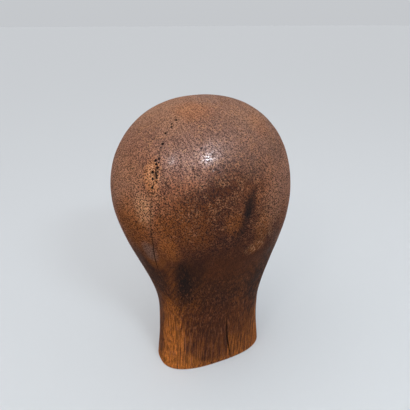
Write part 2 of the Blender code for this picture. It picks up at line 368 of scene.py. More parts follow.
# The skylight, the room's own light, and the camera
SKYLIGHT_SIDE = (0.30, -0.62, 1.0)
SKYLIGHT_DISTANCE = 3.0
SKYLIGHT_SPREAD = math.radians(70)
SKYLIGHT_COLOUR = (1.0, 0.98, 0.96)
ROOM_COLOUR = (0.93, 0.96, 1.0, 1)
ROOM_RISE = (0.0, 0.5)
CAMERA_PLACE = (0.3806, -0.1710, 0.3771)
CAMERA_TURN = (math.radians(66.27), 0, math.radians(65.53))
CAMERA_LENS = 36.88
CAMERA_SENSOR = 36


def number_property(name, description, default, **kind):
    """Property for a plain number."""
    return bpy.props.FloatProperty(name=name, description=description, default=default, **kind)


def length_property(name, description, default):
    """Property for a length."""
    return number_property(name, description, default, unit="LENGTH")


def angle_property(name, description, degrees):
    """Property for an angle, whose default is given in degrees."""
    return number_property(name, description, math.radians(degrees), subtype="ANGLE")


def power_property(name, description, default):
    """Property for the power of a light."""
    return number_property(name, description, default, subtype="POWER")


def colour_property(name, description, default):
    """Property for a colour."""
    return bpy.props.FloatVectorProperty(
        name=name, description=description, default=default, subtype="COLOR", size=3,
    )


class HatBlockSizes(bpy.types.PropertyGroup):
    """Sizes of the carved block"""

    height: length_property(
        "Height", "From the bench to the crown", CAD_BOX[1].z - CAD_BOX[0].z,
    )
    head_length: length_property(
        "Head length", "Longest section of the head", CAD_BOX[1].y - CAD_BOX[0].y - LEAN_SPREAD,
    )
    head_width: length_property(
        "Head width", "Widest section of the head", CAD_BOX[1].x - CAD_BOX[0].x,
    )
    head_level: length_property("Head level", "Height of the widest section", 213 * MM)
    neck_length: length_property("Neck length", "Narrowest length of the neck", 120.6 * MM)
    neck_length_level: length_property(
        "Neck length level", "Height at which the ends are narrowest", 70 * MM,
    )
    neck_width: length_property("Neck width", "Narrowest width of the neck", 73 * MM)
    neck_width_level: length_property(
        "Neck width level", "Height at which the flanks are narrowest", 18 * MM,
    )
    foot_length: length_property("Foot length", "Length of the foot", 130 * MM)
    foot_width: length_property("Foot width", "Width of the foot", 70 * MM)
    foot_setback: length_property(
        "Foot setback", "Foot's middle behind the head's middle", 7.3 * MM,
    )
    foot_ease: length_property("Foot edge", "Wear of the foot's lower edge", 1.1 * MM)
    lean: length_property("Lean", "How far the head leans over the foot", 8.5 * MM)
    lean_start: length_property("Lean start", "Height at which the lean begins", 83 * MM)
    lean_end: length_property("Lean end", "Height at which the lean ends", 254 * MM)
    ring_points: bpy.props.IntProperty(
        name="Ring points", description="Corners of each ring of the rough shape", default=96,
    )
    unevenness: length_property(
        "Unevenness", "Height of the swells that the rasp has left", 0.7 * MM,
    )
    joint_turn: angle_property("Glue line turn", "Turn of the glue line, seen from above", 32.4)
    joint_tilt: angle_property("Glue line tilt", "Lean of the glued faces", 1.5)
    joint_offset: length_property(
        "Glue line offset", "Distance of the glue line from the foot's middle", 8 * MM,
    )
    joint_gap: length_property(
        "Glue line gap", "Opening of the glue line where it is tight", 0.06 * MM,
    )
    socket_radius: length_property("Socket radius", "Radius of the peg socket", 12.5 * MM)
    socket_depth: length_property("Socket depth", "Depth of the peg socket", 70 * MM)


class HatBlockPins(bpy.types.PropertyGroup):
    """Small pits that pins have left all over the head"""

    spacing: length_property("Spacing", "Least distance between two pits", 2.3 * MM)
    radius: length_property("Radius", "Mean radius of a pit at the surface", 0.46 * MM)
    depth: length_property("Depth", "Mean depth of a pit", 0.55 * MM)
    lowest: length_property(
        "Lowest", "Height below which there are hardly any pits", 178 * MM,
    )
    seed: bpy.props.IntProperty(name="Seed", description="Picks the arrangement", default=7)


class HatBlockColours(bpy.types.PropertyGroup):
    """Colours and shine of the wood, its old finish and what years of use have left on it, and of
    the shade, sheen and glints painted on it
    """

    honey: colour_property("Bare wood", "Light bands of the bare wood", (0.37, 0.112, 0.017))
    chestnut: colour_property("Late wood", "Dark bands of the bare wood", (0.13, 0.036, 0.006))
    russet: colour_property("Head finish", "Old polish on the head", (0.25, 0.086, 0.036))
    # The faded tone is also laid on the upper flanks as a painted sheen.
    fawn: colour_property("Faded crown", "Faded polish on top", (0.225, 0.106, 0.068))
    # This dark is also painted shade under the head and on the neck, besides wood that hands have
    # darkened.
    umber: colour_property(
        "Handled dark", "Where hands have darkened the wood", (0.041, 0.0095, 0.0024),
    )
    # This near black is also painted shade round the neck under the head, besides real stains.
    soot: colour_property("Stain", "Nearly black stains", (0.010, 0.0028, 0.0010))
    # Its pale curls are partly painted glints of the gloss on the fine relief; it also brightens
    # the neck's scratches.
    fleck: colour_property(
        "Worn flecks", "High points that wear has brightened", (0.19, 0.064, 0.026),
    )
    # It also paints the paler curls near the crown, partly as glints, and the line on the foot's
    # lower edge, partly as a highlight.
    straw: colour_property(
        "Torn fibres", "Pale fibres where the surface is worn through", (0.42, 0.205, 0.098),
    )
    ash: colour_property("Dusty patch", "Greyish dried patches", (0.20, 0.11, 0.08))
    grime: colour_property("Grime", "Dirt in the pits and cracks", (0.014, 0.006, 0.003))
    gloss: number_property(
        "Roughness", "Roughness of the handled surface", 0.17, min=0.0, max=1.0,
    )
    stipple: length_property(
        "Stipple", "Height of the fine relief between the pin pricks", 0.10 * MM,
    )
    polish: number_property(
        "Polish", "Strength of the reflections on the old finish", 0.05, min=0.0, max=1.0,
    )


class HatBlockStage(bpy.types.PropertyGroup):
    """Floor, room and lights"""

    floor_size: length_property("Floor size", "Width of the floor", 60.0)
    floor_colour: colour_property("Floor colour", "Colour of the pale floor", (0.60, 0.61, 0.62))
    floor_shade: colour_property(
        "Floor shade", "Colour that the floor throws back on the block", (0.12, 0.085, 0.07),
    )
    room_high: number_property(
        "Light from above", "Strength of the room's light high up", 0.80,
    )
    room_low: number_property(
        "Light from the side", "Strength of the room's light low down", 0.24,
    )
    room_seen: number_property(
        "Background", "Brightness of the room where it is seen low down", 0.60,
    )
    wall_seen: number_property("Wall", "Brightness of the room where it is seen high up", 0.90)
    window_power: power_property("Window power", "Power of the window's light", 6.5)
    lamp_power: power_property("Lamp power", "Power of the second, dimmer light", 2.0)
    skylight_strength: number_property(
        "Skylight", "Strength of the broad light from above", 0.92,
    )
    gleam_power: power_property(
        "Gleam power", "Power of the windows that only the gloss picks up", 165.0,
    )
    floor_glow: number_property(
        "Floor glow", "What the floor's own paleness adds in the picture", 0.03,
    )


def ease(step):
    """Smooth step from 0 to 1."""
    step = min(max(step, 0.0), 1.0)
    return step * step * (3 - 2 * step)


def between(table, level):
    """Value of a table of (level, value) pairs at a level, on a straight line between two rows."""
    if level <= table[0][0]:
        return table[0][1]
    for (low, first), (high, second) in zip(table, table[1:]):
        if level <= high:
            return first + (second - first) * (level - low) / (high - low)
    return table[-1][1]


def profile(sizes, level, foot, neck, neck_level, head, swell):
    """Half breadth of one profile at a height, from foot to neck to head and over the dome."""
    if level < neck_level:
        return neck + (foot - neck) * (1 - level / neck_level) ** 2
    if level < sizes.head_level:
        rise = (level - neck_level) / (sizes.head_level - neck_level)
        return neck + (head - neck) * ease(rise ** swell)
    rise = min((level - sizes.head_level) / (sizes.height - sizes.head_level), 1.0)
    return head * (1 - rise ** DOME_FULLNESS) ** (1 / DOME_FULLNESS)


def section(sizes, level):
    """Half width, half length, centre along Y and squareness of the section at a height."""
    half_width = profile(
        sizes, level, sizes.foot_width / 2, sizes.neck_width / 2, sizes.neck_width_level,
        sizes.head_width / 2, FLANK_SWELL,
    )
    half_length = profile(
        sizes, level, sizes.foot_length / 2, sizes.neck_length / 2, sizes.neck_length_level,
        sizes.head_length / 2, END_SWELL,
    )
    leaning = (level - sizes.lean_start) / (sizes.lean_end - sizes.lean_start)
    centre = sizes.foot_setback - sizes.lean * ease(leaning)
    rounding = min(level / ROUNDED_LEVEL, 1.0)
    squareness = FOOT_SQUARENESS + (HEAD_SQUARENESS - FOOT_SQUARENESS) * rounding
    return half_width, half_length, centre, squareness


def ring_levels(sizes):
    """Heights of the rings of the rough shape, from the foot to the rim of the cap."""
    levels = [0.0]
    for step in range(NECK_RINGS):
        levels.append(FIRST_RING + (FLARE_START - FIRST_RING) * step / NECK_RINGS)
    for step in range(FLARE_RINGS):
        levels.append(FLARE_START + (sizes.head_level - FLARE_START) * step / FLARE_RINGS)
    last = math.asin((CAP_LEVEL - sizes.head_level) / (sizes.height - sizes.head_level))
    for step in range(DOME_RINGS + 1):
        rise = (sizes.height - sizes.head_level) * math.sin(last * step / DOME_RINGS)
        levels.append(sizes.head_level + rise)
    return levels


def start_modelling():
    """Leaves edit mode and deselects everything, because a new primitive joins what is selected."""
    if bpy.context.mode != "OBJECT":
        bpy.ops.object.mode_set(mode="OBJECT")
    bpy.ops.object.select_all(action="DESELECT")


def pick(item):
    """Makes one object the selected and active one."""
    start_modelling()
    item.select_set(True)
    bpy.context.view_layer.objects.active = item


def edit(select_mode="VERT"):
    """Enters edit mode with the given kind of selection."""
    bpy.ops.object.mode_set(mode="EDIT")
    bpy.ops.mesh.select_mode(type=select_mode)


def leave_edit():
    """Returns to object mode."""
    bpy.ops.object.mode_set(mode="OBJECT")


def select_where(item, wanted):
    """Selects the vertices of an object that pass a test, and nothing else of it."""
    mesh = item.data
    for part in itertools.chain(mesh.polygons, mesh.edges):
        part.select = False
    for corner in mesh.vertices:
        corner.select = wanted(corner)


def turn_outward():
    """Turns all faces of the mesh in edit mode outwards, and leaves them selected."""
    bpy.ops.mesh.select_all(action="SELECT")
    bpy.ops.mesh.normals_make_consistent(inside=False)


def apply_modifier(item, kind, **settings):
    """Adds one modifier with its settings and applies it."""
    pick(item)
    change = item.modifiers.new(kind.lower(), kind)
    for name, value in settings.items():
        setattr(change, name, value)
    bpy.ops.object.modifier_apply(modifier=change.name)


def displace(item, name, size, strength, layers, **settings):
    """Pushes a surface in and out by soft noise whose lumps have about the given size."""
    lumps = bpy.data.textures.new(name, type="CLOUDS")
    lumps.noise_scale = size
    lumps.noise_depth = layers
    apply_modifier(
        item, "DISPLACE", texture=lumps, texture_coords="LOCAL", strength=strength,
        mid_level=0.5, **settings,
    )


def settle_order(item):
    """Rebuilds a mesh in an order that follows from places, because some operators shuffle it."""
    mesh = item.data
    order = sorted(range(len(mesh.vertices)), key=lambda index: mesh.vertices[index].co[:])
    ranks = {index: rank for rank, index in enumerate(order)}
    places = [mesh.vertices[index].co[:] for index in order]
    faces = []
    for face in mesh.polygons:
        ring = [ranks[index] for index in face.vertices]
        first = ring.index(min(ring))
        faces.append(ring[first:] + ring[:first])
    mesh.clear_geometry()
    mesh.from_pydata(places, [], sorted(faces))
    mesh.update()


def cut(item, cutter, operation="DIFFERENCE"):
    """Cuts one object with another, or adds it, and uses the other up."""
    apply_modifier(item, "BOOLEAN", operation=operation, solver="MANIFOLD", object=cutter)
    bpy.data.objects.remove(cutter)
    settle_order(item)


def squared(share, power):
    """Moves a share of a radius, from -1 to 1, from a circle to a squarer outline."""
    return math.copysign(abs(share) ** power, share)


def fit_outline(item, sizes):
    """Moves each point of the flanks from an ellipse to the squarer outline of its height."""
    for corner in item.data.vertices:
        level = corner.co.z
        if level > CAP_LEVEL - TINY:
            continue
        half_width, half_length, centre, squareness = section(sizes, level)
        across = corner.co.x / half_width
        along = (corner.co.y - centre) / half_length
        reach = math.hypot(across, along)
        across, along = across / reach, along / reach
        if level > FIRST_RING - TINY:
            reach = 1.0
        power = 2 / squareness
        corner.co.x = squared(across, power) * reach * half_width
        corner.co.y = centre + squared(along, power) * reach * half_length


def raise_cap(item, sizes):
    """Bends the flat grid that closes the top into the crown of the dome."""
    half_width, half_length, centre, squareness = section(sizes, CAP_LEVEL)
    rim = half_width / (sizes.head_width / 2)
    power = 2 / squareness
    for corner in item.data.vertices:
        if corner.co.z < CAP_LEVEL - TINY:
            continue
        across = corner.co.x / half_width
        along = (corner.co.y - centre) / half_length
        reach = min(math.hypot(across, along), 1.0)
        if reach < CAP_CENTRE:
            corner.co.z = sizes.height
            continue
        if reach > CAP_RIM:
            reach = 1.0
        turn = math.atan2(along, across)
        corner.co.x = squared(math.cos(turn), power) * reach * half_width
        corner.co.y = centre + squared(math.sin(turn), power) * reach * half_length
        rise = (1 - (reach * rim) ** DOME_FULLNESS) ** (1 / DOME_FULLNESS)
        corner.co.z = sizes.head_level + (sizes.height - sizes.head_level) * rise


def draw_up(sizes):
    """Flanks of the block, drawn up from its foot ring by ring and open at the top."""
    start_modelling()
    levels = ring_levels(sizes)
    half_width, half_length, centre = section(sizes, levels[0])[:3]
    bpy.ops.mesh.primitive_circle_add(
        vertices=sizes.ring_points, radius=1, fill_type="NGON", location=(0, centre, 0),
    )
    block = bpy.context.object
    bpy.ops.object.transform_apply(location=True, rotation=False, scale=False)
    edit("FACE")
    bpy.ops.transform.resize(
        value=(half_width, half_length, 1), center_override=(0, centre, 0),
    )
    for lower, upper in zip(levels, levels[1:]):
        old_width, old_length, old_centre = section(sizes, lower)[:3]
        new_width, new_length, new_centre = section(sizes, upper)[:3]
        bpy.ops.mesh.extrude_region_move(
            TRANSFORM_OT_translate={"value": (0, new_centre - old_centre, upper - lower)},
        )
        bpy.ops.transform.resize(
            value=(new_width / old_width, new_length / old_length, 1),
            center_override=(0, new_centre, upper),
        )
    bpy.ops.mesh.delete(type="ONLY_FACE")
    leave_edit()
    settle_order(block)
    return block


def ease_foot(block, sizes):
    """Rounds the foot's lower edge, as years on the bench have done."""
    mesh = block.data
    select_where(block, lambda corner: False)
    sides = {}
    for face in mesh.polygons:
        for key in face.edge_keys:
            sides.setdefault(key, []).append(face.normal)
    for edge in mesh.edges:
        normals = sides[edge.key]
        low = max(mesh.vertices[index].co.z for index in edge.vertices) < TINY
        edge.select = low and normals[0].angle(normals[1]) > FOOT_CORNER
        if edge.select:
            for index in edge.vertices:
                mesh.vertices[index].select = True
    pick(block)
    edit("EDGE")
    bpy.ops.mesh.bevel(offset=sizes.foot_ease, segments=CORNER_FACETS, affect="EDGES")
    leave_edit()


def carve_block(sizes):
    """The whole block: flanks drawn up from the foot, a grid raised as the crown, a worn edge."""
    block = draw_up(sizes)
    select_where(block, lambda corner: corner.co.z > CAP_LEVEL - TINY)
    edit("VERT")
    bpy.ops.mesh.fill_grid(span=sizes.ring_points // 4, offset=sizes.ring_points // 8)
    leave_edit()
    ease_foot(block, sizes)
    select_where(block, lambda corner: corner.co.z < TINY)
    edit("VERT")
    bpy.ops.mesh.select_mode(type="FACE")
    for thickness in SOLE_INSETS:
        bpy.ops.mesh.inset(thickness=thickness)
    turn_outward()
    bpy.ops.mesh.subdivide(number_cuts=3)
    leave_edit()
    fit_outline(block, sizes)
    raise_cap(block, sizes)
    return block


def roughen(block, sizes):
    """Leaves the low swells of hand work on the block, and keeps the foot flat."""
    free = block.vertex_groups.new(name="free")
    for corner in block.data.vertices:
        rise = (corner.co.z - SWELL_START) / (SWELL_FULL - SWELL_START)
        free.add([corner.index], ease(rise), "REPLACE")
    for kind, size, share in SWELLS:
        displace(
            block, kind + "_swells", size, sizes.unevenness * share, layers=1,
            vertex_group="free",
        )
    block.vertex_groups.clear()


def joint_frame(sizes):
    """Frame of the glued faces: +X is their normal, into the right half, and -Y looks out."""
    at_foot = Matrix.Translation((0, sizes.foot_setback, 0))
    turned = Matrix.Rotation(sizes.joint_turn, 4, "Z")
    moved = Matrix.Translation((-sizes.joint_offset, 0, 0))
    tilted = Matrix.Rotation(sizes.joint_tilt, 4, "Y")
    return at_foot @ turned @ moved @ tilted


def joint_shift(place):
    """How far the glued faces swing from their plane, at a place in the joint's frame."""
    return between(JOINT_WANDER, place.z / MM) * MM * ease(0.5 - place.y / WANDER_FADE)


def sweep(name, sections):
    """Closed body drawn through sections that have the same number of corners."""
    start_modelling()
    bpy.ops.mesh.primitive_circle_add(
        vertices=len(sections[0]), radius=SWEEP_STEP, fill_type="NGON",
    )
    body = bpy.context.object
    body.name = name
    edit("FACE")
    for step in range(len(sections) - 1):
        bpy.ops.mesh.extrude_region_move(TRANSFORM_OT_translate={"value": (0, 0, SWEEP_STEP)})
    leave_edit()
    rings = {}
    for corner in body.data.vertices:
        turn = math.atan2(corner.co.y, corner.co.x) % (2 * math.pi)
        rings.setdefault(round(corner.co.z / SWEEP_STEP), []).append((turn, corner.index))
    for level, members in rings.items():
        for place, (turn, index) in zip(sections[level], sorted(members)):
            body.data.vertices[index].co = place
    pick(body)
    edit("FACE")
    turn_outward()
    leave_edit()
    settle_order(body)
    return body


def half_cutter(sizes, side):
    """Everything beyond the glue line: +1 takes the right half away, and -1 the left."""
    to_world = joint_frame(sizes)
    stops = (-HALF_REACH, -60 * MM, -40 * MM, -20 * MM, 0, 20 * MM, 40 * MM, HALF_REACH)
    sections = []
    for level in HALF_LEVELS:
        ring = []
        for along in stops:
            place = Vector((0, along, level * MM))
            place.x = joint_shift(place) - side * sizes.joint_gap / 2
            ring.append(to_world @ place)
        for along in (HALF_REACH, -HALF_REACH):
            ring.append(to_world @ Vector((side * HALF_REACH, along, level * MM)))
        sections.append(ring)
    return sweep("half_cutter", sections)


def outward(surface, place):
    """Nearest point of the carved surface and its normal."""
    return surface.find_nearest(place)[:2]


def on_joint(surface, sizes, level, shift):
    """Where a line beside the glue line meets the overhanging end: point, normal and way in."""
    to_world = joint_frame(sizes)
    start = to_world @ Vector((shift * MM, -FAR_OUT, level * MM))
    direction = (to_world.to_3x3() @ Vector((0, 1, 0))).normalized()
    point, normal = surface.ray_cast(start, direction)[:2]
    if point is None:
        raise RuntimeError(f"no surface beside the glue line at {level} mm")
    return point, normal, direction


def blade(name, mouths):
    """Thin wedge through mouths of (point, way in, width, depth) that lie along a crack."""
    sections = []
    for index, (point, inward, width, depth) in enumerate(mouths):
        before = mouths[max(index - 1, 0)][0]
        after = mouths[min(index + 1, len(mouths) - 1)][0]
        across = (after - before).cross(inward).normalized() * MM
        opening = width * (depth * MM + BLADE_CLEARANCE) / (depth * MM) / 2
        sections.append([
            point + inward * depth * MM,
            point - inward * BLADE_CLEARANCE + across * opening,
            point - inward * BLADE_CLEARANCE - across * opening,
        ])
    return sweep(name, sections)


def crack_mouths(surface, stations):
    """Mouths of a crack whose stations lie near the surface."""
    mouths = []
    for place, width, depth in stations:
        point, normal = outward(surface, Vector(place) * MM)
        if place[2] < 0:
            point.z = place[2] * MM
        mouths.append((point, -normal, width, depth))
    return mouths


def square_to(push, axis):
    """The part of a push that is square to an axis."""
    return push - axis * push.dot(axis)


def pin_hole(name, point, inward, radius, depth, draw):
    """Torn cone of one big pin hole."""
    start_modelling()
    reach = depth * MM + PIN_CLEARANCE
    mouth = radius * MM * reach / (depth * MM)
    middle = point + inward * (depth * MM - PIN_CLEARANCE) / 2
    bpy.ops.mesh.primitive_cone_add(
        vertices=PIN_SIDES, radius1=mouth, radius2=mouth * PIN_TIP, depth=reach,
        location=middle, rotation=inward.to_track_quat("Z", "Y").to_euler(),
    )
    hole = bpy.context.object
    hole.name = name
    bpy.ops.object.transform_apply(location=True, rotation=True, scale=True)
    for corner in hole.data.vertices:
        corner.co += square_to(corner.co - middle, inward) * draw.uniform(-PIN_TEAR, PIN_TEAR)
    return hole


def trough_cutter(surface, sizes):
    """Torn trough where the row of pins has worn the glue line away."""
    point, normal = on_joint(surface, sizes, TROUGH_LEVEL, TROUGH_SHIFT)[:2]
    upper = on_joint(surface, sizes, TROUGH_LEVEL + TROUGH_STEP, TROUGH_SHIFT)[0]
    along = (upper - point).normalized()
    sideways = along.cross(normal).normalized()
    start_modelling()
    bpy.ops.mesh.primitive_uv_sphere_add(segments=24, ring_count=16, radius=1)
    trough = bpy.context.object
    trough.name = "trough_cutter"
    width, length, depth = (size * MM for size in TROUGH_SIZE)
    axes = Matrix((sideways, along, normal)).transposed().to_4x4()
    shape = Matrix.Translation(point) @ axes @ Matrix.Diagonal((width, length, depth, 1))
    trough.data.transform(shape)
    displace(trough, "tears", TEAR_SIZE, TEAR_DEPTH, layers=2)
    return trough


def socket_cutter(sizes):
    """Bore of the peg socket, with a broken edge at its mouth and a rounded end."""
    radius, depth = sizes.socket_radius, sizes.socket_depth
    stations = (
        (-3 * MM, radius + SOCKET_BEVEL), (0, radius + SOCKET_BEVEL), (SOCKET_BEVEL, radius),
        (depth - 4 * MM, radius), (depth - SOCKET_BEVEL, radius - 2 * MM), (depth, radius / 2),
    )
    sections = []
    for level, reach in stations:
        ring = []
        for step in range(SOCKET_SIDES):
            turn = 2 * math.pi * step / SOCKET_SIDES
            away = Vector((math.cos(turn), math.sin(turn), 0)) * reach
            ring.append(away + Vector((0, sizes.foot_setback, level)))
        sections.append(ring)
    return sweep("socket_cutter", sections)


def all_cutters(surface, sizes):
    """One body that takes away the socket, the cracks, the trough and the big pin holes."""
    draw = random.Random(PIN_SEED)
    together = socket_cutter(sizes)
    crack = []
    for level, shift, width, depth in OPEN_CRACK:
        point, normal, direction = on_joint(surface, sizes, level, shift)
        crack.append((point, direction, width, depth))
    cutters = [blade("crack_cutter", crack)]
    for name, stations in CHECKS.items():
        cutters.append(blade(name, crack_mouths(surface, stations)))
    for level, shift, radius, depth in ROW_PINS:
        point, normal, direction = on_joint(surface, sizes, level, shift)
        inward = (direction - normal).normalized()
        cutters.append(pin_hole("row_pin", point, inward, radius, depth, draw))
    for place, radius, depth in LONE_PINS:
        point, normal = outward(surface, Vector(place) * MM)
        cutters.append(pin_hole("lone_pin", point, -normal, radius, depth, draw))
    for cutter in [trough_cutter(surface, sizes)] + cutters:
        cut(together, cutter, "UNION")
    return together


def pit_places(block, pins):
    """Vertices of the head that become pits: random, but never closer than the spacing."""
    draw = random.Random(pins.seed)
    corners = block.data.vertices
    order = [corner.index for corner in corners if corner.co.z > pins.lowest - PIT_MARGIN]
    draw.shuffle(order)
    taken = {}
    chosen = []
    for index in order:
        place = corners[index].co
        rise = place.z - pins.lowest + PIT_FADE / 2 + PIT_SLANT * place.x
        chance = ease(rise / PIT_FADE)
        chance *= 1 - CROWN_THINNING * ease((place.z - CROWN_START) / CROWN_FADE)
        if draw.random() > chance:
            continue
        cell = [math.floor(axis / pins.spacing) for axis in place]
        near = (
            other
            for step in itertools.product((-1, 0, 1), repeat=3)
            for other in taken.get(tuple(map(sum, zip(cell, step))), ())
        )
        if any((other - place).length < pins.spacing for other in near):
            continue
        taken.setdefault(tuple(cell), []).append(place.copy())
        chosen.append(index)
    return chosen


def scatter(draw):
    """A random push with the same spread in every direction."""
    return Vector((draw.gauss(0, 1), draw.gauss(0, 1), draw.gauss(0, 1)))


def sink_pit(middle, place, surface, pins, draw):
    """Draws the rim round one vertex to a small circle on the surface, and sinks the vertex."""
    rim = {corner for face in middle.link_faces for corner in face.verts} - {middle}
    normal = outward(surface, place)[1]
    size = pins.radius * draw.uniform(*PIT_WIDTHS)
    slide = square_to(scatter(draw), normal) * PIT_SLIDE
    for corner in rim:
        away = square_to(corner.co - place, normal).normalized()
        corner.co = outward(surface, place + slide + away * size)[0]
    sunk = pins.depth * draw.uniform(*PIT_DEPTHS)
    middle.co = place + slide + scatter(draw) * PIT_LEAN - normal * sunk


def prick_head(block, pins, surface):
    """Opens the chosen vertices into small round rims and sinks the middle of each."""
    chosen = pit_places(block, pins)
    draw = random.Random(pins.seed + 1)
    mesh = block.data
    places = [mesh.vertices[index].co.copy() for index in chosen]
    wanted = set(chosen)
    select_where(block, lambda corner: corner.index in wanted)
    pick(block)
    edit("VERT")
    bpy.ops.mesh.bevel(
        offset=pins.radius, segments=2, affect="VERTICES", profile=0.2, clamp_overlap=False,
    )
    leave_edit()
    work = bmesh.new()
    work.from_mesh(mesh)
    work.verts.ensure_lookup_table()
    tree = KDTree(len(work.verts))
    for corner in work.verts:
        tree.insert(corner.co, corner.index)
    tree.balance()
    for place in places:
        index, distance = tree.find(place)[1:]
        if distance <= PIT_LOST:
            sink_pit(work.verts[index], place, surface, pins, draw)
    work.to_mesh(mesh)
    work.free()


def mark_surface(half, surface, sizes):
    """Stores how deep each vertex lies below the carved surface, and how far from the joint."""
    to_joint = joint_frame(sizes).inverted()
    depths = []
    shifts = []
    for corner in half.data.vertices:
        depths.append(min(surface.find_nearest(corner.co)[3] / MM, DEEPEST))
        place = to_joint @ corner.co
        shifts.append((place.x - joint_shift(place)) / MM)
    for name, values in (("depth", depths), ("joint", shifts)):
        half.data.attributes.new(name, "FLOAT", "POINT").data.foreach_set("value", values)


def drop_crumbs(half):
    """Takes out what the cuts leave: specks, loose crumbs, and points that only split an edge."""
    pick(half)
    edit("VERT")
    bpy.ops.mesh.select_all(action="SELECT")
    bpy.ops.mesh.dissolve_degenerate(threshold=0.001 * MM)
    bpy.ops.mesh.delete_loose()
    bpy.ops.mesh.select_all(action="DESELECT")
    work = bmesh.from_edit_mesh(half.data)
    min(work.verts, key=lambda corner: corner.co.z).select_set(True)
    bpy.ops.mesh.select_linked()
    bpy.ops.mesh.select_all(action="INVERT")
    bpy.ops.mesh.delete(type="VERT")
    leave_edit()
    work = bmesh.new()
    work.from_mesh(half.data)
    idle = [corner for corner in work.verts if len(corner.link_edges) == 2]
    bmesh.ops.dissolve_verts(work, verts=idle)
    work.to_mesh(half.data)
    work.free()


def finish_half(half, name, surface, sizes):
    """Cleans one half up and gives it its marks, shading, material and place in the frame."""
    half.name = name + "_carved"
    half.data.name = half.name
    drop_crumbs(half)
    mark_surface(half, surface, sizes)
    bpy.ops.object.shade_smooth_by_angle(angle=CRISP_ANGLE)
    triangles = sum(len(face.vertices) - 2 for face in half.data.polygons)
    if triangles > MOST_TRIANGLES:
        raise RuntimeError(f"{half.name} has {triangles} triangles")
    half.data.materials.clear()
    half.data.materials.append(wood_material(name + "_wood", *FIGURES[name]))
    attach(half, "root")
    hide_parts(name)


class Nodes:
    """A node tree and short ways to add the nodes that it needs."""

    def __init__(self, tree):
        self.tree = tree

    def feed(self, socket, value):
        """Links a socket to another, or sets it to a value."""
        if isinstance(value, bpy.types.NodeSocket):
            self.tree.links.new(value, socket)
        else:
            socket.default_value = value

    def node(self, kind, sockets=None, **settings):
        """A new node with its settings, and its sockets linked or set."""
        new = self.tree.nodes.new(kind)
        for name, value in settings.items():
            setattr(new, name, value)
        for name, value in (sockets or {}).items():
            self.feed(new.inputs[name], value)
        return new

    def calc(self, operation, *values, clamp=False):
        """One Math node."""
        sockets = dict(enumerate(values))
        new = self.node("ShaderNodeMath", sockets, operation=operation, use_clamp=clamp)
        return new.outputs[0]

    def times(self, first, second):
        """Product of two values."""
        return self.calc("MULTIPLY", first, second)

    def vector(self, operation, *values):
        """One Vector Math node with a vector as its result."""
        sockets = dict(enumerate(values))
        return self.node("ShaderNodeVectorMath", sockets, operation=operation).outputs[0]

    def scaled(self, vector, amount):
        """A vector made longer, or a colour made lighter, by an amount."""
        sockets = {0: vector, "Scale": amount}
        return self.node("ShaderNodeVectorMath", sockets, operation="SCALE").outputs[0]

    def reach(self, place):
        """Distance of a place from the origin."""
        return self.node("ShaderNodeVectorMath", {0: place}, operation="LENGTH").outputs["Value"]

    def split(self, place):
        """The three coordinates of a place."""
        return self.node("ShaderNodeSeparateXYZ", {0: place}).outputs

    def fade(self, value, start, end, low=0.0, high=1.0):
        """Eases from low to high while the value goes from start to end."""
        sockets = {
            "Value": value, "From Min": start, "From Max": end, "To Min": low, "To Max": high,
        }
        new = self.node("ShaderNodeMapRange", sockets, interpolation_type="SMOOTHSTEP")
        return new.outputs[0]

    def noise(self, place, size, detail=2.0, roughness=0.5, output="Fac"):
        """Noise whose lumps have about the given size."""
        sockets = {
            "Vector": place, "Scale": 1 / size, "Detail": detail, "Roughness": roughness,
        }
        return self.node("ShaderNodeTexNoise", sockets).outputs[output]

    def moved(self, place, centre=(0, 0, 0), turn=(0, 0, 0), scale=(1, 1, 1)):
        """Place seen from a centre, turned and then scaled."""
        sockets = {"Vector": place, "Location": centre, "Rotation": turn, "Scale": scale}
        return self.node("ShaderNodeMapping", sockets, vector_type="TEXTURE").outputs[0]

    def drawn_out(self, place, factor):
        """Place on which a pattern is longer upright by a factor."""
        return self.moved(place, scale=(1, 1, factor))

    def shaken(self, place, size, amount, detail=2.0):
        """Place pushed about by noise, so that a boundary drawn on it wanders."""
        lumps = self.noise(place, size, detail, output="Color")
        push = self.scaled(self.vector("SUBTRACT", lumps, (0.5, 0.5, 0.5)), amount)
        return self.vector("ADD", place, push)

    def mix(self, amount, first, second):
        """One colour over another."""
        first, second = (
            tint if isinstance(tint, bpy.types.NodeSocket) else (*tint[:3], 1)
            for tint in (first, second)
        )
        sockets = {0: amount, 6: first, 7: second}
        return self.node("ShaderNodeMix", sockets, data_type="RGBA").outputs[2]

    def blot(self, place, centre, radii, lean=(0, 0), soft=0.6):
        """Soft-edged blot in millimetres: 1 in the middle and 0 beyond its radii."""
        centre = tuple(axis * MM for axis in centre)
        radii = tuple(axis * MM for axis in radii)
        turn = (math.radians(lean[0]), math.radians(lean[1]), 0)
        reach = self.reach(self.moved(place, centre, turn, radii))
        return self.fade(reach, 1 + soft / 2, 1 - soft)

    def attribute(self, name):
        """A value that is stored on the mesh."""
        return self.node("ShaderNodeAttribute", attribute_name=name).outputs["Fac"]

    def seen(self):
        """1 for what the picture or a reflection shows, and 0 for the light that is shed."""
        sight = self.node("ShaderNodeLightPath").outputs
        shown = self.calc("MAXIMUM", sight["Is Camera Ray"], sight["Is Glossy Ray"])
        return self.calc("MAXIMUM", shown, sight["Is Transmission Ray"])


class Finish(Nodes):
    """A material with one shader."""

    def __init__(self, name):
        self.material = bpy.data.materials.new(name)
        self.material.use_nodes = True
        super().__init__(self.material.node_tree)

    def shade(self, sockets):
        """Links or sets sockets of the shader."""
        shader = self.tree.nodes["Principled BSDF"]
        for name, value in sockets.items():
            self.feed(shader.inputs[name], value)


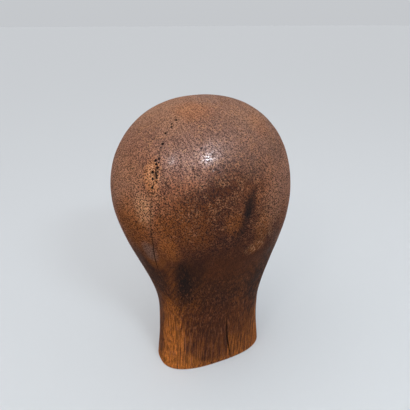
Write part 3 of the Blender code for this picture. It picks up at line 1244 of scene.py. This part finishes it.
class OldWood(Finish):
    """Oiled wood, with the patterns that its old finish and its wear follow."""

    def __init__(self, name, pith, tilt, ring_width):
        super().__init__(name)
        self.colours = bpy.context.scene.hat_block_colours
        self.place = self.node("ShaderNodeTexCoord").outputs["Object"]
        self.height = self.split(self.place)[2]
        self.grow(tuple(axis * MM for axis in pith), tilt, ring_width)
        self.mottle = self.noise(self.place, 17 * MM, detail=4.0, roughness=0.6)
        strokes = self.moved(self.place, turn=(math.radians(35), 0, 0), scale=(1, 1, 1.5))
        self.grit = self.noise(strokes, 0.95 * MM, detail=1.5, roughness=0.55)
        self.maze = self.fade(self.grit, 0.36, 0.62)
        self.lay_edges()
        self.level = self.split(self.edges["soft"])[2]
        self.crown = self.fade(self.level, *CROWN_RISE)
        self.stippled = self.fade(self.level, *STIPPLE_RISE, 0.25, 1.0)
        self.depth = self.attribute("depth")

    def grow(self, pith, tilt, ring_width):
        """Growth rings around an upright pith, streaks, and fine upright fibres."""
        wander = self.shaken(self.drawn_out(self.place, 4), 60 * MM, 14 * MM)
        seen = self.moved(self.drawn_out(wander, 0.25), pith, tilt)
        radius = self.reach(self.drawn_out(seen, 1000))
        ripple = self.noise(self.drawn_out(seen, 8), 6 * MM)
        rings = self.calc("MULTIPLY_ADD", radius, 1 / ring_width, ripple)
        phase = self.calc("FRACT", rings)
        self.late = self.times(self.fade(phase, 0.35, 0.92), self.fade(phase, 1.0, 0.94))
        self.fibres = self.noise(
            self.drawn_out(seen, 26), 0.75 * MM, detail=3.0, roughness=0.6,
        )
        self.streaks = self.noise(self.drawn_out(seen, 9), 7 * MM)

    def lay_edges(self):
        """Ways in which a stain's edge wanders, and patterns that break some stains up."""
        self.edges = {
            "soft": self.shaken(self.place, 26 * MM, 26 * MM, 4.0),
            "ragged": self.shaken(self.place, 7 * MM, 7 * MM, 4.0),
            "close": self.shaken(self.place, 4 * MM, 3 * MM, 3.0),
        }
        self.edges["torn"] = self.edges["close"]
        self.edges["veined"] = self.edges["close"]
        self.edges["flecked"] = self.edges["ragged"]
        torn = self.calc("MULTIPLY_ADD", self.fibres, 0.4, self.times(self.grit, 0.6))
        veins = self.noise(self.drawn_out(self.place, 7), 2.2 * MM)
        slanting = self.moved(self.place, turn=(math.radians(-35), 0, 0), scale=(1, 1, 2.2))
        flecks = self.noise(slanting, 1.9 * MM, detail=1.0)
        self.breaks = {
            "torn": self.fade(torn, 0.47, 0.54),
            "veined": self.fade(veins, 0.36, 0.58, 1.0, 0.72),
            "flecked": self.fade(flecks, 0.49, 0.58),
        }

    def bare(self):
        """Light and dark bands of the bare wood."""
        tints = self.colours
        dark = self.fade(self.streaks, 0.36, 0.68, 0, 0.55)
        dark = self.calc("MULTIPLY_ADD", self.late, 0.38, dark)
        dark = self.calc("ADD", dark, self.fade(self.fibres, 0.40, 0.72, -0.12, 0.42), clamp=True)
        colour = self.mix(dark, tints.honey, tints.chestnut)
        return self.mix(self.fade(self.late, 0.25, 1.0, 0, 0.50), colour, tints.umber)

    def polished(self, colour):
        """Lays the old polish over the head, faded on the crown."""
        tints = self.colours
        polish = self.mix(self.fade(self.mottle, 0.35, 0.65, 0, 0.28), tints.russet, tints.umber)
        polish = self.mix(self.crown, polish, tints.fawn)
        polish = self.mix(self.fade(self.late, 0.0, 1.0, 0, 0.34), polish, tints.umber)
        polish = self.mix(self.fade(self.streaks, 0.45, 0.7, 0, 0.25), polish, tints.umber)
        return self.mix(self.fade(self.level, *POLISH_RISE), colour, polish)

    def stained(self, colour, table):
        """Lays the rows of a table over a colour one by one: stains, and in the broad table painted
        shade and a painted sheen too.
        """
        for tint, strength, edge, centre, radii, *lean in table:
            amount = self.times(self.blot(self.edges[edge], centre, radii, *lean), strength)
            if edge in self.breaks:
                amount = self.times(amount, self.breaks[edge])
            colour = self.mix(amount, colour, getattr(self.colours, tint))
        return colour

    def curled_and_glinting(self, colour):
        """Brings out short curled fibres, paler towards the crown, which are partly worn fibres and
        partly painted glints of the gloss on the fine relief.
        """
        curls = self.calc("SUBTRACT", self.noise(self.place, 2.8 * MM, detail=1.0), 0.5)
        curls = self.fade(self.calc("ABSOLUTE", curls), 0.075, 0.015)
        worn = self.noise(self.place, 9 * MM)
        curls = self.times(curls, self.fade(worn, 0.42, 0.60, 0.10, 0.64))
        curls = self.times(curls, self.fade(self.level, *CURL_RISE, 0.40, 1))
        pale = self.fade(self.level, *PALE_CURL_RISE, 0.0, 0.6)
        return self.mix(curls, colour, self.mix(pale, self.colours.fleck, self.colours.straw))

    def worn_foot_and_edge_highlight(self, colour):
        """Wears the finish off low down, most under the overhanging end, and lightens the lowest
        edge, partly as wear and partly as a painted highlight.
        """
        rim = self.fade(self.split(self.edges["ragged"])[2], 12 * MM, 0.5 * MM, 0, 0.85)
        along = self.split(self.place)[1]
        rim = self.times(rim, self.fade(along, 15 * MM, -25 * MM, 0.25, 1))
        colour = self.mix(rim, colour, self.colours.honey)
        # The pale line on the lowest edge is partly wear and partly a painted highlight on the
        # eased edge.
        return self.mix(self.fade(self.height, *ARRIS_FALL, 0, 0.7), colour, self.colours.straw)

    def speckled(self, colour):
        """Darkens and lightens the polish in a fine maze, less so on the crown."""
        darkest = self.calc("MULTIPLY_ADD", self.crown, 0.38, 0.20)
        lightest = self.calc("MULTIPLY_ADD", self.crown, -0.50, 1.96)
        speckle = self.fade(self.maze, 0.0, 1.0, darkest, lightest)
        return self.mix(self.stippled, colour, self.scaled(colour, speckle))

    def scratched(self, colour):
        """Brightens fine upright scratches on the neck."""
        scratches = self.noise(self.drawn_out(self.place, 9), 1.5 * MM, detail=1.0)
        scratches = self.fade(scratches, 0.58, 0.66, 0, 0.72)
        scratches = self.times(scratches, self.fade(self.level, *SCRATCH_FALL))
        return self.mix(scratches, colour, self.colours.fleck)

    def grained(self, colour):
        """Brings out fibres and vessels where the neck has lost its polish."""
        vessels = self.noise(self.drawn_out(self.place, 34), 1.2 * MM, detail=1.0)
        light = self.calc(
            "ADD", self.fade(self.fibres, 0.40, 0.60, 0.72, -0.50),
            self.fade(vessels, 0.62, 0.70, 0, -0.40),
        )
        light = self.calc("MULTIPLY_ADD", light, self.fade(self.level, *SAWN_FALL), 1.0)
        return self.scaled(colour, light)

    def grimed(self, colour):
        """Darkens the glue line, and all that lies below the carved surface."""
        joint = self.calc("ABSOLUTE", self.attribute("joint"))
        line = self.times(
            self.fade(joint, 0.55, 0.12, 0, 0.55), self.fade(self.height, *GLUE_LINE_FALL),
        )
        colour = self.mix(line, colour, self.colours.grime)
        trough = self.blot(self.place, *TORN_PLACE)
        shallow = self.calc("MULTIPLY_ADD", trough, 0.50, 0.02)
        deep = self.calc("MULTIPLY_ADD", trough, 0.90, 0.16)
        return self.mix(self.fade(self.depth, shallow, deep), colour, self.colours.grime)

    def dullness(self):
        """Roughness: least on the rubbed flank, and most in pits, in gaps and low down."""
        gloss = self.colours.gloss
        rubbed = self.blot(self.edges["soft"], *RUBBED_PLACE, soft=0.8)
        dull = self.fade(self.mottle, 0.35, 0.65, gloss - 0.04, gloss + 0.10)
        for more in (
            self.times(self.fade(self.maze, 0.7, 0.0, 0, 0.75), self.stippled),
            self.calc(
                "MAXIMUM", self.fade(rubbed, 1.0, 0.0, 0, 0.30),
                self.fade(self.level, *DULL_FALL, 0, 0.40),
            ),
        ):
            dull = self.calc("ADD", dull, more)
        return self.calc("ADD", dull, self.fade(self.depth, 0.02, 0.2, 0, 0.45), clamp=True)

    def relief(self):
        """Fine relief of the maze and the fibres, much lower than a pin prick is deep."""
        height = self.calc(
            "MULTIPLY_ADD", self.fibres, 0.30, self.times(self.maze, self.stippled),
        )
        sockets = {"Strength": 1.0, "Distance": self.colours.stipple, "Height": height}
        return self.node("ShaderNodeBump", sockets).outputs[0]


def wood_material(name, pith, tilt, ring_width):
    """Old oiled wood with its darkened, stained and worn places, among which shade, a sheen, glints
    and an edge highlight are painted.
    """
    wood = OldWood(name, pith, tilt, ring_width)
    colour = wood.polished(wood.bare())
    colour = wood.stained(colour, HANDLED_AND_PAINTED_LIGHT)
    colour = wood.curled_and_glinting(colour)
    colour = wood.stained(colour, MARKS)
    for change in (
        wood.worn_foot_and_edge_highlight, wood.speckled, wood.scratched, wood.grained, wood.grimed,
    ):
        colour = change(colour)
    wood.shade({
        "Base Color": colour,
        "Specular IOR Level": wood.colours.polish,
        "Roughness": wood.dullness(),
        "Normal": wood.relief(),
    })
    return wood.material


class HATBLOCK_OT_halves(bpy.types.Operator):
    """Carve the block, open its cracks and pin holes, and split it along the glue line"""

    bl_idname = "hatblock.halves"
    bl_label = "Two glued halves"

    def execute(self, context):
        sizes = context.scene.hat_block_sizes
        block = carve_block(sizes)
        roughen(block, sizes)
        surface = BVHTree.FromObject(block, context.evaluated_depsgraph_get())
        prick_head(block, context.scene.hat_block_pins, surface)
        cut(block, all_cutters(surface, sizes))
        pick(block)
        bpy.ops.object.duplicate()
        other = context.object
        cut(block, half_cutter(sizes, 1))
        cut(other, half_cutter(sizes, -1))
        finish_half(block, "left_half", surface, sizes)
        finish_half(other, "right_half", surface, sizes)
        return {"FINISHED"}


def lay_floor(stage):
    """Pale floor that throws back less light on the block than it shows."""
    start_modelling()
    bpy.ops.mesh.primitive_plane_add(size=stage.floor_size)
    floor = bpy.context.object
    floor.name = "floor"
    finish = Finish("pale_floor")
    seen = finish.seen()
    finish.shade({
        "Base Color": finish.mix(seen, stage.floor_shade, stage.floor_colour),
        "Roughness": 0.8,
        "Specular IOR Level": 0.0,
        "Emission Color": (*stage.floor_colour, 1),
        "Emission Strength": finish.times(seen, stage.floor_glow),
    })
    floor.data.materials.append(finish.material)


def pale_room(stage):
    """World that looks evenly pale but sheds more of its light from above than from the side."""
    world = bpy.data.worlds.new("pale_room")
    world.use_nodes = True
    nodes = Nodes(world.node_tree)
    upward = nodes.split(nodes.node("ShaderNodeTexCoord").outputs["Generated"])[2]
    shed = nodes.fade(upward, *ROOM_RISE, stage.room_low, stage.room_high)
    shown = nodes.fade(upward, *ROOM_RISE, stage.room_seen, stage.wall_seen)
    strength = nodes.node("ShaderNodeMix", {0: nodes.seen(), 2: shed, 3: shown}).outputs[0]
    background = world.node_tree.nodes["Background"]
    nodes.feed(background.inputs["Color"], ROOM_COLOUR)
    nodes.feed(background.inputs["Strength"], strength)
    return world


def hang_light(kind, name, direction, distance, power, colour):
    """Light of one kind that faces the block's middle from a direction."""
    start_modelling()
    aim = Vector(direction).normalized()
    bpy.ops.object.light_add(
        type=kind, location=Vector(BLOCK_MIDDLE) + aim * distance,
        rotation=aim.to_track_quat("Z", "Y").to_euler(),
    )
    light = bpy.context.object
    light.name = name
    light.data.energy = power
    light.data.color = colour
    return light


def hang_lights(stage):
    """Two soft lamps, their gleams, which only the gloss picks up, and a broad skylight."""
    for name, direction, distance, size, power, share, colour, lights in LAMPS:
        strength = getattr(stage, power) * share
        lamp = hang_light("AREA", name, direction, distance, strength, colour)
        lamp.data.shape = "RECTANGLE"
        lamp.data.size, lamp.data.size_y = size
        lamp.visible_diffuse = lights
    skylight = hang_light(
        "SUN", "skylight", SKYLIGHT_SIDE, SKYLIGHT_DISTANCE, stage.skylight_strength,
        SKYLIGHT_COLOUR,
    )
    skylight.data.angle = SKYLIGHT_SPREAD


class HATBLOCK_OT_stage(bpy.types.Operator):
    """Lay the pale floor, hang the lights and place the camera"""

    bl_idname = "hatblock.stage"
    bl_label = "Floor, lights and camera"

    def execute(self, context):
        scene = context.scene
        lay_floor(scene.hat_block_stage)
        scene.world = pale_room(scene.hat_block_stage)
        hang_lights(scene.hat_block_stage)
        start_modelling()
        bpy.ops.object.camera_add(location=CAMERA_PLACE, rotation=CAMERA_TURN)
        camera = context.object
        camera.name = "camera"
        camera.data.lens = CAMERA_LENS
        camera.data.sensor_width = CAMERA_SENSOR
        scene.camera = camera
        scene.view_settings.view_transform = "Standard"
        return {"FINISHED"}


class HATBLOCK_PT_panel(bpy.types.Panel):
    """Lists the pieces of the hat block, its stage and what can be changed of both"""

    bl_label = "Hat block"
    bl_idname = "HATBLOCK_PT_panel"
    bl_space_type = "VIEW_3D"
    bl_region_type = "UI"
    bl_category = "Hat block"

    def draw(self, context):
        for operator in OPERATORS:
            self.layout.operator(operator.bl_idname)
        for name, kind in GROUPS.items():
            box = self.layout.box()
            for key in kind.__annotations__:
                box.prop(getattr(context.scene, name), key)


OPERATORS = (HATBLOCK_OT_halves, HATBLOCK_OT_stage)
GROUPS = {
    "hat_block_sizes": HatBlockSizes,
    "hat_block_pins": HatBlockPins,
    "hat_block_colours": HatBlockColours,
    "hat_block_stage": HatBlockStage,
}
CLASSES = (*GROUPS.values(), *OPERATORS, HATBLOCK_PT_panel)


def register():
    for item in CLASSES:
        bpy.utils.register_class(item)
    for name, kind in GROUPS.items():
        setattr(bpy.types.Scene, name, bpy.props.PointerProperty(type=kind))


def unregister():
    for name in GROUPS:
        delattr(bpy.types.Scene, name)
    for item in reversed(CLASSES):
        bpy.utils.unregister_class(item)


def main():
    register()
    bpy.ops.hatblock.halves()
    bpy.ops.hatblock.stage()


if __name__ == "__main__":
    main()
